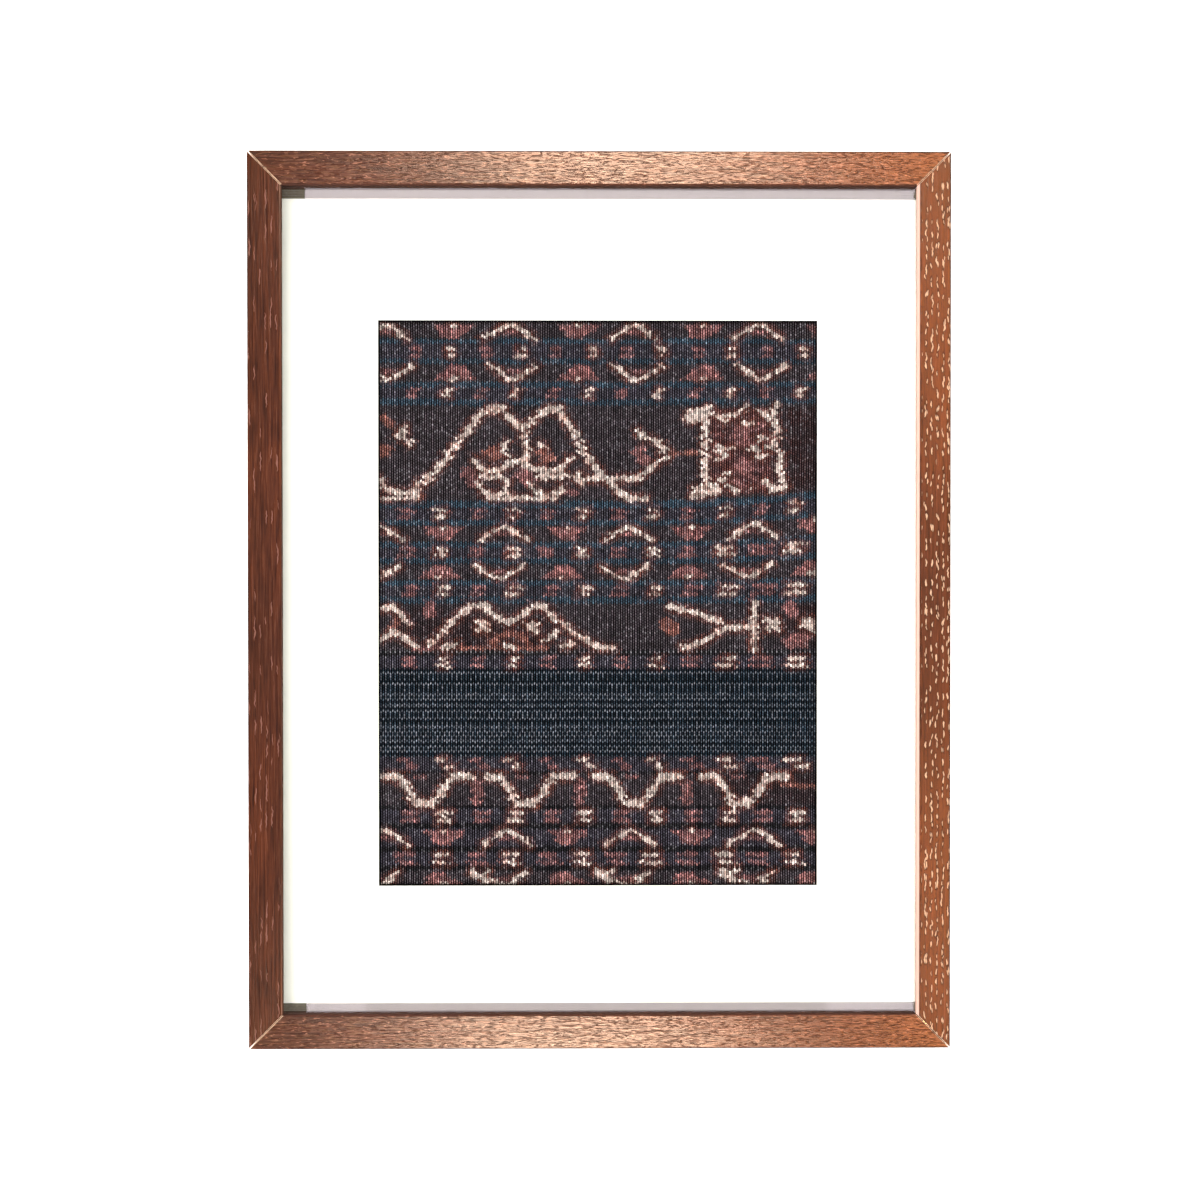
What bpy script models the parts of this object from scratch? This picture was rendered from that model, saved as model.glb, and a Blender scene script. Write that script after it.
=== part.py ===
"""A woven ikat textile in a deep wooden frame that lies on its back, face up.

Four mitred rails with a rebate hold a stack of flat layers. From the front to the back these are
the clear glazing, four spacer strips, a window mat, the cloth and a backing board. The origin is at
the centre of the frame's back, +Z points out of the picture and +Y towards its top. Metres.
"""

import math

import bmesh
import bpy

# Frame, seen from the front
FRAME_WIDTH = 0.2980
FRAME_HEIGHT = 0.3805
FACE_WIDTH = 0.0145
LIP_WIDTH = 0.0070
LIP_THICKNESS = 0.0025

# Layers, from the back to the front
BACKING_THICKNESS = 0.0030
CLOTH_THICKNESS = 0.0010
MAT_THICKNESS = 0.0016
SPACER_HEIGHT = 0.0155
GLAZING_THICKNESS = 0.0020
GAP = 0.0003

# Window of the mat, measured at its back face, and the cloth behind it
WINDOW_WIDTH = 0.1925
WINDOW_HEIGHT = 0.2480
WINDOW_SHIFT_X = -0.0009
WINDOW_SHIFT_Y = -0.0007
CLOTH_OVERLAP = 0.0120

# Spacers at the two sides are thinner, so they stay hidden behind the lip
SIDE_SPACER_WIDTH = 0.0024

# Rounded edges of the rails: the widest one, and the others as shares of it
EDGE_ROUND = 0.0006
EDGE_SEGMENTS = 3
FRONT_SHARE = 1.0
CORNER_SHARE = 1.0
BACK_SHARE = 0.6
MITRE_SHARE = 0.3

# Height of each layer's underside
CLOTH_BASE = BACKING_THICKNESS + GAP
MAT_BASE = CLOTH_BASE + CLOTH_THICKNESS + GAP
SPACER_BASE = MAT_BASE + MAT_THICKNESS + GAP
GLAZING_BASE = SPACER_BASE + SPACER_HEIGHT + GAP
LIP_BASE = GLAZING_BASE + GLAZING_THICKNESS + GAP
FRAME_DEPTH = LIP_BASE + LIP_THICKNESS

# Plan sizes that follow
REBATE_INSET = FACE_WIDTH - LIP_WIDTH
LAYER_WIDTH = FRAME_WIDTH - 2 * (REBATE_INSET + GAP)
LAYER_HEIGHT = FRAME_HEIGHT - 2 * (REBATE_INSET + GAP)
END_SPACER_WIDTH = LIP_WIDTH - GAP
SIDE_SPACER_LENGTH = LAYER_HEIGHT - 2 * (END_SPACER_WIDTH + GAP)
CLOTH_WIDTH = WINDOW_WIDTH + 2 * CLOTH_OVERLAP
CLOTH_HEIGHT = WINDOW_HEIGHT + 2 * CLOTH_OVERLAP

# How far past the mat the tool that cuts its window reaches, above and below
CUT_MARGIN = 0.0010

# Two edges or points closer than this are taken to be in one place
NEAR = 0.00001


def clear_scene():
    for item in list(bpy.data.objects):
        bpy.data.objects.remove(item, do_unlink=True)


def new_collection(name):
    group = bpy.data.collections.new(name)
    bpy.context.scene.collection.children.link(group)
    return group


def material(name, colour, roughness, alpha=1.0):
    made = bpy.data.materials.new(name)
    made.use_nodes = True
    shader = made.node_tree.nodes["Principled BSDF"]
    shader.inputs["Base Color"].default_value = (*colour, 1.0)
    shader.inputs["Roughness"].default_value = roughness
    shader.inputs["Metallic"].default_value = 0.0
    shader.inputs["Alpha"].default_value = alpha
    return made


def add_object(name, mesh, group, finish=None):
    made = bpy.data.objects.new(name, mesh)
    group.objects.link(made)
    if finish:
        mesh.materials.append(finish)
    return made


def box_mesh(name, size):
    """A box that stands on its own origin."""
    mesh = bpy.data.meshes.new(name)
    shape = bmesh.new()
    bmesh.ops.create_cube(shape, size=1.0)
    bmesh.ops.scale(shape, vec=size, verts=shape.verts)
    bmesh.ops.translate(shape, vec=(0, 0, size[2] / 2), verts=shape.verts)
    shape.to_mesh(mesh)
    shape.free()
    return mesh


def layer(name, size, location, group, finish):
    """A flat rectangular piece of the stack."""
    made = add_object(name, box_mesh(name, size), group, finish)
    made.location = location
    return made


def rail_section():
    """The rail's outline: how far in from the frame's outer side, and how high."""
    return [
        (0.0, 0.0),
        (REBATE_INSET, 0.0),
        (REBATE_INSET, LIP_BASE),
        (FACE_WIDTH, LIP_BASE),
        (FACE_WIDTH, FRAME_DEPTH),
        (0.0, FRAME_DEPTH),
    ]


def bar_mesh(name, outline, length):
    """The outline drawn along X as a bar with plain square ends."""
    curve = bpy.data.curves.new(name, "CURVE")
    curve.dimensions = "2D"
    curve.fill_mode = "BOTH"
    curve.extrude = length / 2
    spline = curve.splines.new("POLY")
    spline.points.add(len(outline) - 1)
    for point, (across, up) in zip(spline.points, outline):
        point.co = (across, up, 0, 1)
    spline.use_cyclic_u = True
    guide = bpy.data.objects.new(name, curve)
    bpy.context.scene.collection.objects.link(guide)
    bpy.context.view_layer.update()
    graph = bpy.context.evaluated_depsgraph_get()
    mesh = bpy.data.meshes.new_from_object(guide.evaluated_get(graph))
    bpy.data.objects.remove(guide, do_unlink=True)
    return mesh


def edge_share(a, b):
    """How much of the full rounding the rail's edge between two corners gets."""
    along = abs(a.x - b.x) > NEAR and abs(a.y - b.y) < NEAR and abs(a.z - b.z) < NEAR
    upright = abs(a.z - b.z) > NEAR and abs(a.y - b.y) < NEAR
    outer = abs(a.y) < NEAR and abs(b.y) < NEAR
    if along and a.z > FRAME_DEPTH - NEAR:
        return FRONT_SHARE
    if along:
        return BACK_SHARE
    if upright and outer:
        return CORNER_SHARE
    return MITRE_SHARE


def rail(name, length, location, turn, group, finish):
    """One rail. It runs along its own X, its outer side at y = 0 and its lip towards -Y."""
    mesh = bar_mesh(name, rail_section(), length)
    shape = bmesh.new()
    shape.from_mesh(mesh)
    bmesh.ops.remove_doubles(shape, verts=shape.verts, dist=NEAR)
    half_gap = GAP / math.sqrt(2)
    for corner in shape.verts:
        inset, height, side = corner.co.x, corner.co.y, math.copysign(1, corner.co.z)
        corner.co = (side * (length / 2 - inset - half_gap), -inset, height)
    bmesh.ops.dissolve_limit(
        shape, angle_limit=math.radians(1), verts=shape.verts, edges=shape.edges
    )
    bmesh.ops.recalc_face_normals(shape, faces=shape.faces)
    shape.to_mesh(mesh)
    shape.free()
    weights = mesh.attributes.new("bevel_weight_edge", "FLOAT", "EDGE")
    for edge in mesh.edges:
        a, b = (mesh.vertices[i].co for i in edge.vertices)
        weights.data[edge.index].value = edge_share(a, b)
    made = add_object(name, mesh, group, finish)
    made.location = location
    made.rotation_euler = (0, 0, turn)
    bevel = made.modifiers.new("rounded edges", "BEVEL")
    bevel.width = EDGE_ROUND
    bevel.segments = EDGE_SEGMENTS
    bevel.limit_method = "WEIGHT"
    bevel.harden_normals = False
    return made


def rails(group, finish):
    half_width = FRAME_WIDTH / 2
    half_height = FRAME_HEIGHT / 2
    rail("rail_top", FRAME_WIDTH, (0, half_height, 0), 0, group, finish)
    rail("rail_bottom", FRAME_WIDTH, (0, -half_height, 0), math.pi, group, finish)
    rail("rail_left", FRAME_HEIGHT, (-half_width, 0, 0), math.pi / 2, group, finish)
    rail("rail_right", FRAME_HEIGHT, (half_width, 0, 0), -math.pi / 2, group, finish)


def spacers(group, finish):
    """The end strips stand flush with the lip, and the side strips against the rebate."""
    end_size = (LAYER_WIDTH, END_SPACER_WIDTH, SPACER_HEIGHT)
    end_y = (LAYER_HEIGHT - END_SPACER_WIDTH) / 2
    layer("spacer_top", end_size, (0, end_y, SPACER_BASE), group, finish)
    layer("spacer_bottom", end_size, (0, -end_y, SPACER_BASE), group, finish)
    side_size = (SIDE_SPACER_WIDTH, SIDE_SPACER_LENGTH, SPACER_HEIGHT)
    side_x = (LAYER_WIDTH - SIDE_SPACER_WIDTH) / 2
    layer("spacer_left", side_size, (-side_x, 0, SPACER_BASE), group, finish)
    layer("spacer_right", side_size, (side_x, 0, SPACER_BASE), group, finish)


def window_cutter(group):
    """A block whose sides slope outwards at 45 degrees, so the mat's window gets its bevel."""
    height = MAT_THICKNESS + 2 * CUT_MARGIN
    low_size = (WINDOW_WIDTH - 2 * CUT_MARGIN, WINDOW_HEIGHT - 2 * CUT_MARGIN, height)
    mesh = box_mesh("window_cutter", low_size)
    for corner in mesh.vertices:
        if corner.co.z > height / 2:
            corner.co.x += math.copysign(height, corner.co.x)
            corner.co.y += math.copysign(height, corner.co.y)
    cutter = add_object("window_cutter", mesh, group)
    cutter.location = (WINDOW_SHIFT_X, WINDOW_SHIFT_Y, MAT_BASE - CUT_MARGIN)
    cutter.hide_render = True
    cutter.display_type = "WIRE"
    return cutter


def mat(group, cutter, finish):
    size = (LAYER_WIDTH, LAYER_HEIGHT, MAT_THICKNESS)
    made = layer("mat", size, (0, 0, MAT_BASE), group, finish)
    cut = made.modifiers.new("window", "BOOLEAN")
    cut.operation = "DIFFERENCE"
    cut.solver = "EXACT"
    cut.object = cutter


def build():
    clear_scene()
    group = new_collection("framed_ikat_textile")
    cutters = new_collection("cutters")
    rails(group, material("rail_wood", (0.22, 0.08, 0.035), 0.45))
    glazing_size = (LAYER_WIDTH, LAYER_HEIGHT, GLAZING_THICKNESS)
    clear = material("clear_glass", (0.95, 0.97, 0.96), 0.03, alpha=0.15)
    layer("glazing", glazing_size, (0, 0, GLAZING_BASE), group, clear)
    spacers(group, material("grey_card", (0.45, 0.40, 0.38), 0.8))
    mat(group, window_cutter(cutters), material("white_board", (0.88, 0.87, 0.84), 0.85))
    cloth_size = (CLOTH_WIDTH, CLOTH_HEIGHT, CLOTH_THICKNESS)
    cloth_place = (WINDOW_SHIFT_X, WINDOW_SHIFT_Y, CLOTH_BASE)
    layer("textile", cloth_size, cloth_place, group, material("ikat", (0.05, 0.03, 0.03), 0.9))
    backing_size = (LAYER_WIDTH, LAYER_HEIGHT, BACKING_THICKNESS)
    layer("backing", backing_size, (0, 0, 0), group, material("brown_board", (0.30, 0.20, 0.12), 0.8))


build()
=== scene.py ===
"""Looks of the framed ikat textile: woven cloth, embossed rails, mat, spacers and clear glazing."""

import math

import bpy
import numpy as np
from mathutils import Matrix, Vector


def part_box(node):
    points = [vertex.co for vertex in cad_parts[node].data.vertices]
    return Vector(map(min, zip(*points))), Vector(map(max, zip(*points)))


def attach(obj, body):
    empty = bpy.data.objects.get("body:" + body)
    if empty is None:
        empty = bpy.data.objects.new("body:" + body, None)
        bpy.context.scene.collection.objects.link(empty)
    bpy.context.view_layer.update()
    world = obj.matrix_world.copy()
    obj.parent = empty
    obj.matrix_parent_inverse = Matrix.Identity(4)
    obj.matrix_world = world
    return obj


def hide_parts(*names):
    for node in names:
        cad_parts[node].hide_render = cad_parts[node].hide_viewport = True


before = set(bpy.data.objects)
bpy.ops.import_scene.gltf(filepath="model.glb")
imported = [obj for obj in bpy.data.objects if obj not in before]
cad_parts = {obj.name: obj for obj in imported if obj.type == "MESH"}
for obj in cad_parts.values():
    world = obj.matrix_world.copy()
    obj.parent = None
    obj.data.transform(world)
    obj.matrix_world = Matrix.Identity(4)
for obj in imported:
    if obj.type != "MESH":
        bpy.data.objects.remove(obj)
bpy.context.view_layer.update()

MM = 0.001

# Pitch of the layers in the spacers' card
CARD_LAYER = 0.0034

# Matt band of painted light that starts at the lip's inner edge and covers its wall, and how much
# further out it starts on the right rail, where it is a painted highlight
PAINTED_LIP_BAND = 0.0003
RIGHT_HIGHLIGHT_WIDER = 0.0010

# Dashes on the side rails: width of their cells, and the pitch and the start of their chains
DASH_THIN = 0.0008
DASH_LANE = 0.0024
DASH_START = 0.00055

# Contour lines that the cracks on the end rails follow, for the whole height of the noise
CONTOURS = 6.5

# Cloth, in millimetres: the strip of the sheet that the mat hides, the pitch of the ribs, half the
# length of a float, and how far the woven cells reach behind the mat
OVERLAP = 12.0
RIB = 1.035
THREAD = 0.6
WOVEN_MARGIN = 2.0

# How steeply the floats slant over their rib, and the start of the random draws
SLANT = 0.9
SEED = 7

# Plain indigo stretch: how near a dotted line a float is part of it, how near it a dark gap still
# reaches, and how dark the gaps are. The first also holds for the line of the ribbed stripe.
LINE_REACH = 0.62
GAP_REACH = 0.92
GAP_TONE = 0.6

# Cards over the frame that only mirrored rays see: how high the dark ceiling and all the others hang
DARK_HEIGHT = 0.90
CARD_HEIGHT = 0.64

# Brightness of the pale ceiling that the glazing mirrors around the cloth, and of the shine on the rails
VEIL = 5.6
SHINE = 116.0
CARD_TONES = {
    "veil": (1.0, 0.89, 0.98),
    "shine": (1.0, 0.70, 0.49),
    "warm": (1.0, 0.34, 0.10),
}

# Each card: its front left and back right corners, its brightness and its tone
CARDS = [
    ("veil_left", (-0.257, -0.352), (-0.206, 0.372), VEIL, "veil"),
    ("veil_right", (0.192, -0.352), (0.270, 0.372), VEIL, "veil"),
    ("veil_front", (-0.206, -0.352), (0.192, -0.247), 0.75 * VEIL, "veil"),
    ("veil_back", (-0.206, 0.262), (0.192, 0.372), VEIL, "veil"),
    ("shine_back", (-0.115, 0.374), (0.152, 0.58), SHINE, "shine"),
    ("shine_front", (-0.150, -0.58), (0.108, -0.354), SHINE, "shine"),
    ("warm_back", (0.152, 0.374), (0.55, 0.58), 22.0, "warm"),
    ("warm_front", (0.108, -0.58), (0.55, -0.354), 19.0, "warm"),
    ("warm_right", (0.275, -0.13), (0.50, 0.13), 16.0, "warm"),
    ("warm_right_back", (0.275, 0.13), (0.50, 0.374), 57.0, "warm"),
    ("warm_right_front", (0.275, -0.354), (0.50, -0.13), 62.0, "warm"),
]

# Each lamp: its size, its place, what it points at, its power and its colour
LAMPS = [
    ("key", (0.42, 0.42), (-0.10, 0.04, 0.64), (0, 0, 0), 5.2, (1.0, 0.99, 0.98)),
    ("top", (0.50, 0.60), (0.10, 0, 0.88), (0, 0, 0), 6.5, (1.0, 0.99, 0.98)),
    ("side", (0.20, 0.50), (-0.60, 0, 0.30), (0.13, 0, 0.02), 3.0, (1.0, 0.96, 0.94)),
]
SKY_STRENGTH = 0.32
FLOOR_GLOW = 0.45
FLOOR_HALF = 3.0
FLOOR_HEIGHT = -0.0002

# Camera
CAMERA_PLACE = (0.0040, -0.0115, 0.6261)
CAMERA_LEAN = (math.radians(-0.45), math.radians(-0.42), math.radians(-0.02))
CAMERA_LENS = 42.41
CAMERA_SENSOR = 36.0
CAMERA_SHIFT = (-0.0163, 0.0326)


def linear(*rgb):
    """A colour from 0-255 display values to the linear values that shaders take."""
    return tuple(
        c / 255 / 12.92 if c / 255 <= 0.04045 else ((c / 255 + 0.055) / 1.055) ** 2.4 for c in rgb
    )


def corners(node):
    """The low and the high corner of a piece."""
    low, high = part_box(node)
    return np.array(low), np.array(high)


def add_object(name, data):
    made = bpy.data.objects.new(name, data)
    bpy.context.scene.collection.objects.link(made)
    return made


# Dyes, as the tone of a float seen in full light
DYES = {
    "brown": linear(62, 55, 59),
    "charcoal": linear(60, 57, 66),
    "blue": linear(50, 71, 85),
    "navy": linear(24, 40, 51),
    "dark": linear(20, 20, 23),
    "panel": linear(98, 57, 53),
    "edge": linear(50, 25, 22),
    "halo": linear(122, 70, 56),
    "cream": linear(190, 174, 165),
    "tan": linear(168, 120, 105),
    "red": linear(160, 108, 105),
    "rust": linear(164, 106, 92),
}
# Pale colour of a float's top: a painted highlight, which also draws the indigo stretch's pale dots
PALE_GLINT_AND_DOT = linear(196, 193, 200)

# Tones of the rails' foil, with a painted highlight in the right rail's dashes, the lip's wall in
# painted shade and painted highlight, the spacers' card and the backing board
TONES = {
    "foil_dark": linear(24, 8, 3),
    "foil_light": linear(74, 35, 17),
    "foil_ridge": linear(104, 66, 38),
    "foil_fleck": linear(134, 84, 62),
    "foil_pore": linear(30, 11, 5),
    "foil_crack": linear(34, 15, 9),
    "dash_left": linear(114, 73, 62),
    # The right rail's dashes: their pale tone with a painted highlight on it
    "dash_right_highlight": linear(198, 162, 132),
    "mitre": linear(216, 180, 150),
    # Lip walls: painted shade on the end rails and the left rail, a painted highlight on the right rail
    "wall_end_shade": linear(78, 52, 44),
    "wall_left_shade": linear(92, 66, 55),
    "wall_right_highlight": linear(196, 160, 146),
    "card_dark": linear(98, 91, 82),
    "card_light": linear(124, 117, 107),
    "card_shade": linear(66, 50, 44),
    "board_dark": linear(138, 108, 76),
    "board_light": linear(184, 152, 112),
    "board_cloud": linear(150, 118, 84),
    "board_speck": linear(92, 68, 46),
}

# Ground stripes: where each one ends, in millimetres down the cloth, and its dye
GROUNDS = [
    (7.9, "brown"),
    (10.0, "blue"),
    (16.6, "charcoal"),
    (18.8, "blue"),
    (26.7, "brown"),
    (29.2, "blue"),
    (34.3, "charcoal"),
    (37.2, "blue"),
    (78.8, "brown"),
    (82.0, "blue"),
    (87.4, "charcoal"),
    (89.6, "blue"),
    (97.1, "brown"),
    (99.2, "blue"),
    (104.1, "charcoal"),
    (106.6, "blue"),
    (113.8, "brown"),
    (116.2, "blue"),
    (120.9, "charcoal"),
    (123.8, "blue"),
    (144.6, "brown"),
    (146.8, "dark"),
    (152.8, "charcoal"),
    (191.2, "navy"),
    (197.8, "charcoal"),
    (198.7, "dark"),
    (213.0, "brown"),
    (214.4, "dark"),
    (220.7, "charcoal"),
    (222.9, "dark"),
    (230.9, "charcoal"),
    (233.3, "dark"),
    (239.2, "charcoal"),
    (241.4, "dark"),
    (260.0, "brown"),
]

# Dash rows: middle of the first mark, heights of the two dashes, length of a dash, and how far the
# lower dash slips to the right
DASH_ROWS = [
    (15.8, 12.3, 15.3, 3.6, 0.0),
    (13.4, 30.3, 33.1, 3.2, 0.0),
    (11.8, 83.1, 86.1, 4.2, 0.0),
    (11.6, 100.2, 102.9, 5.2, 0.0),
    (12.0, 116.9, 120.0, 4.8, 0.0),
    (12.4, 148.2, 151.3, 4.0, 0.0),
    (12.3, 192.7, 195.8, 3.8, 2.4),
    (13.2, 216.0, 219.3, 6.4, 0.0),
    (12.0, 234.4, 238.0, 7.4, 0.0),
]
DASH_PITCH = 15.55
DASH_COUNT = 12

# Half widths of a cream dash, a red dash and the tie between two dashes, and how much shorter a cream
# dash is at each end
DASH_HALF = 0.62
RED_DASH_HALF = 0.95
TIE_HALF = 0.3
DASH_CAP = 0.5

# Rows, by the height of their upper dash, whose dashes get longer on the right: from where, over what
# distance, and how much
SMEARED_ROWS = (100.2, 116.9, 148.2, 192.7)
SMEAR_START = 125.0
SMEAR_RUN = 40.0
SMEAR_MOST = 1.1

# Peak rows: height of the wide side, height of the tip, middle of the first cream outline and of the
# first red wedge. A tip above its wide side makes a peak, below it a cup.
PEAK_ROWS = [
    (8.0, 1.9, 2.6, 32.4),
    (19.3, 25.9, 3.4, 32.6),
    (96.4, 90.4, 0.6, 28.2),
    (107.3, 113.0, -1.4, 26.9),
    (230.2, 223.8, 1.5, 28.6),
    (242.2, 248.0, -0.6, 26.9),
]
PEAK_PITCH = 54.6
PEAK_HALF = 10.6
WEDGE_HALF = 9.6
PEAK_COUNT = 4
PEAK_LINE = 0.8

# Shape of a peak: its knee and its shoulder, as shares of its half width and of its height
KNEE_OUT = 0.62
KNEE_UP = 0.45
SHOULDER_OUT = 0.2
SHOULDER_UP = 0.92

# Zigzag row
ZIGZAG_TROUGHS = [19.9, 64.5, 112.0, 159.2]
ZIGZAG_TOP = 200.0
ZIGZAG_BOTTOM = 212.0
ZIGZAG_TAIL = 204.0
ZIGZAG_BLOCKS = [42.9, 88.0, 134.9]
ZIGZAG_LINE = 1.5

# Plain indigo stretch: heights of its dotted lines
DOTTED_LINES = [
    154.4, 159.3, 164.3, 166.2, 169.2, 171.4, 174.6, 177.9, 180.5, 182.4, 184.8, 186.9, 189.0,
]

# Dark ribbed stripe: height of its line of pale dots
RIBBED_LINE = 145.6

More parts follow.
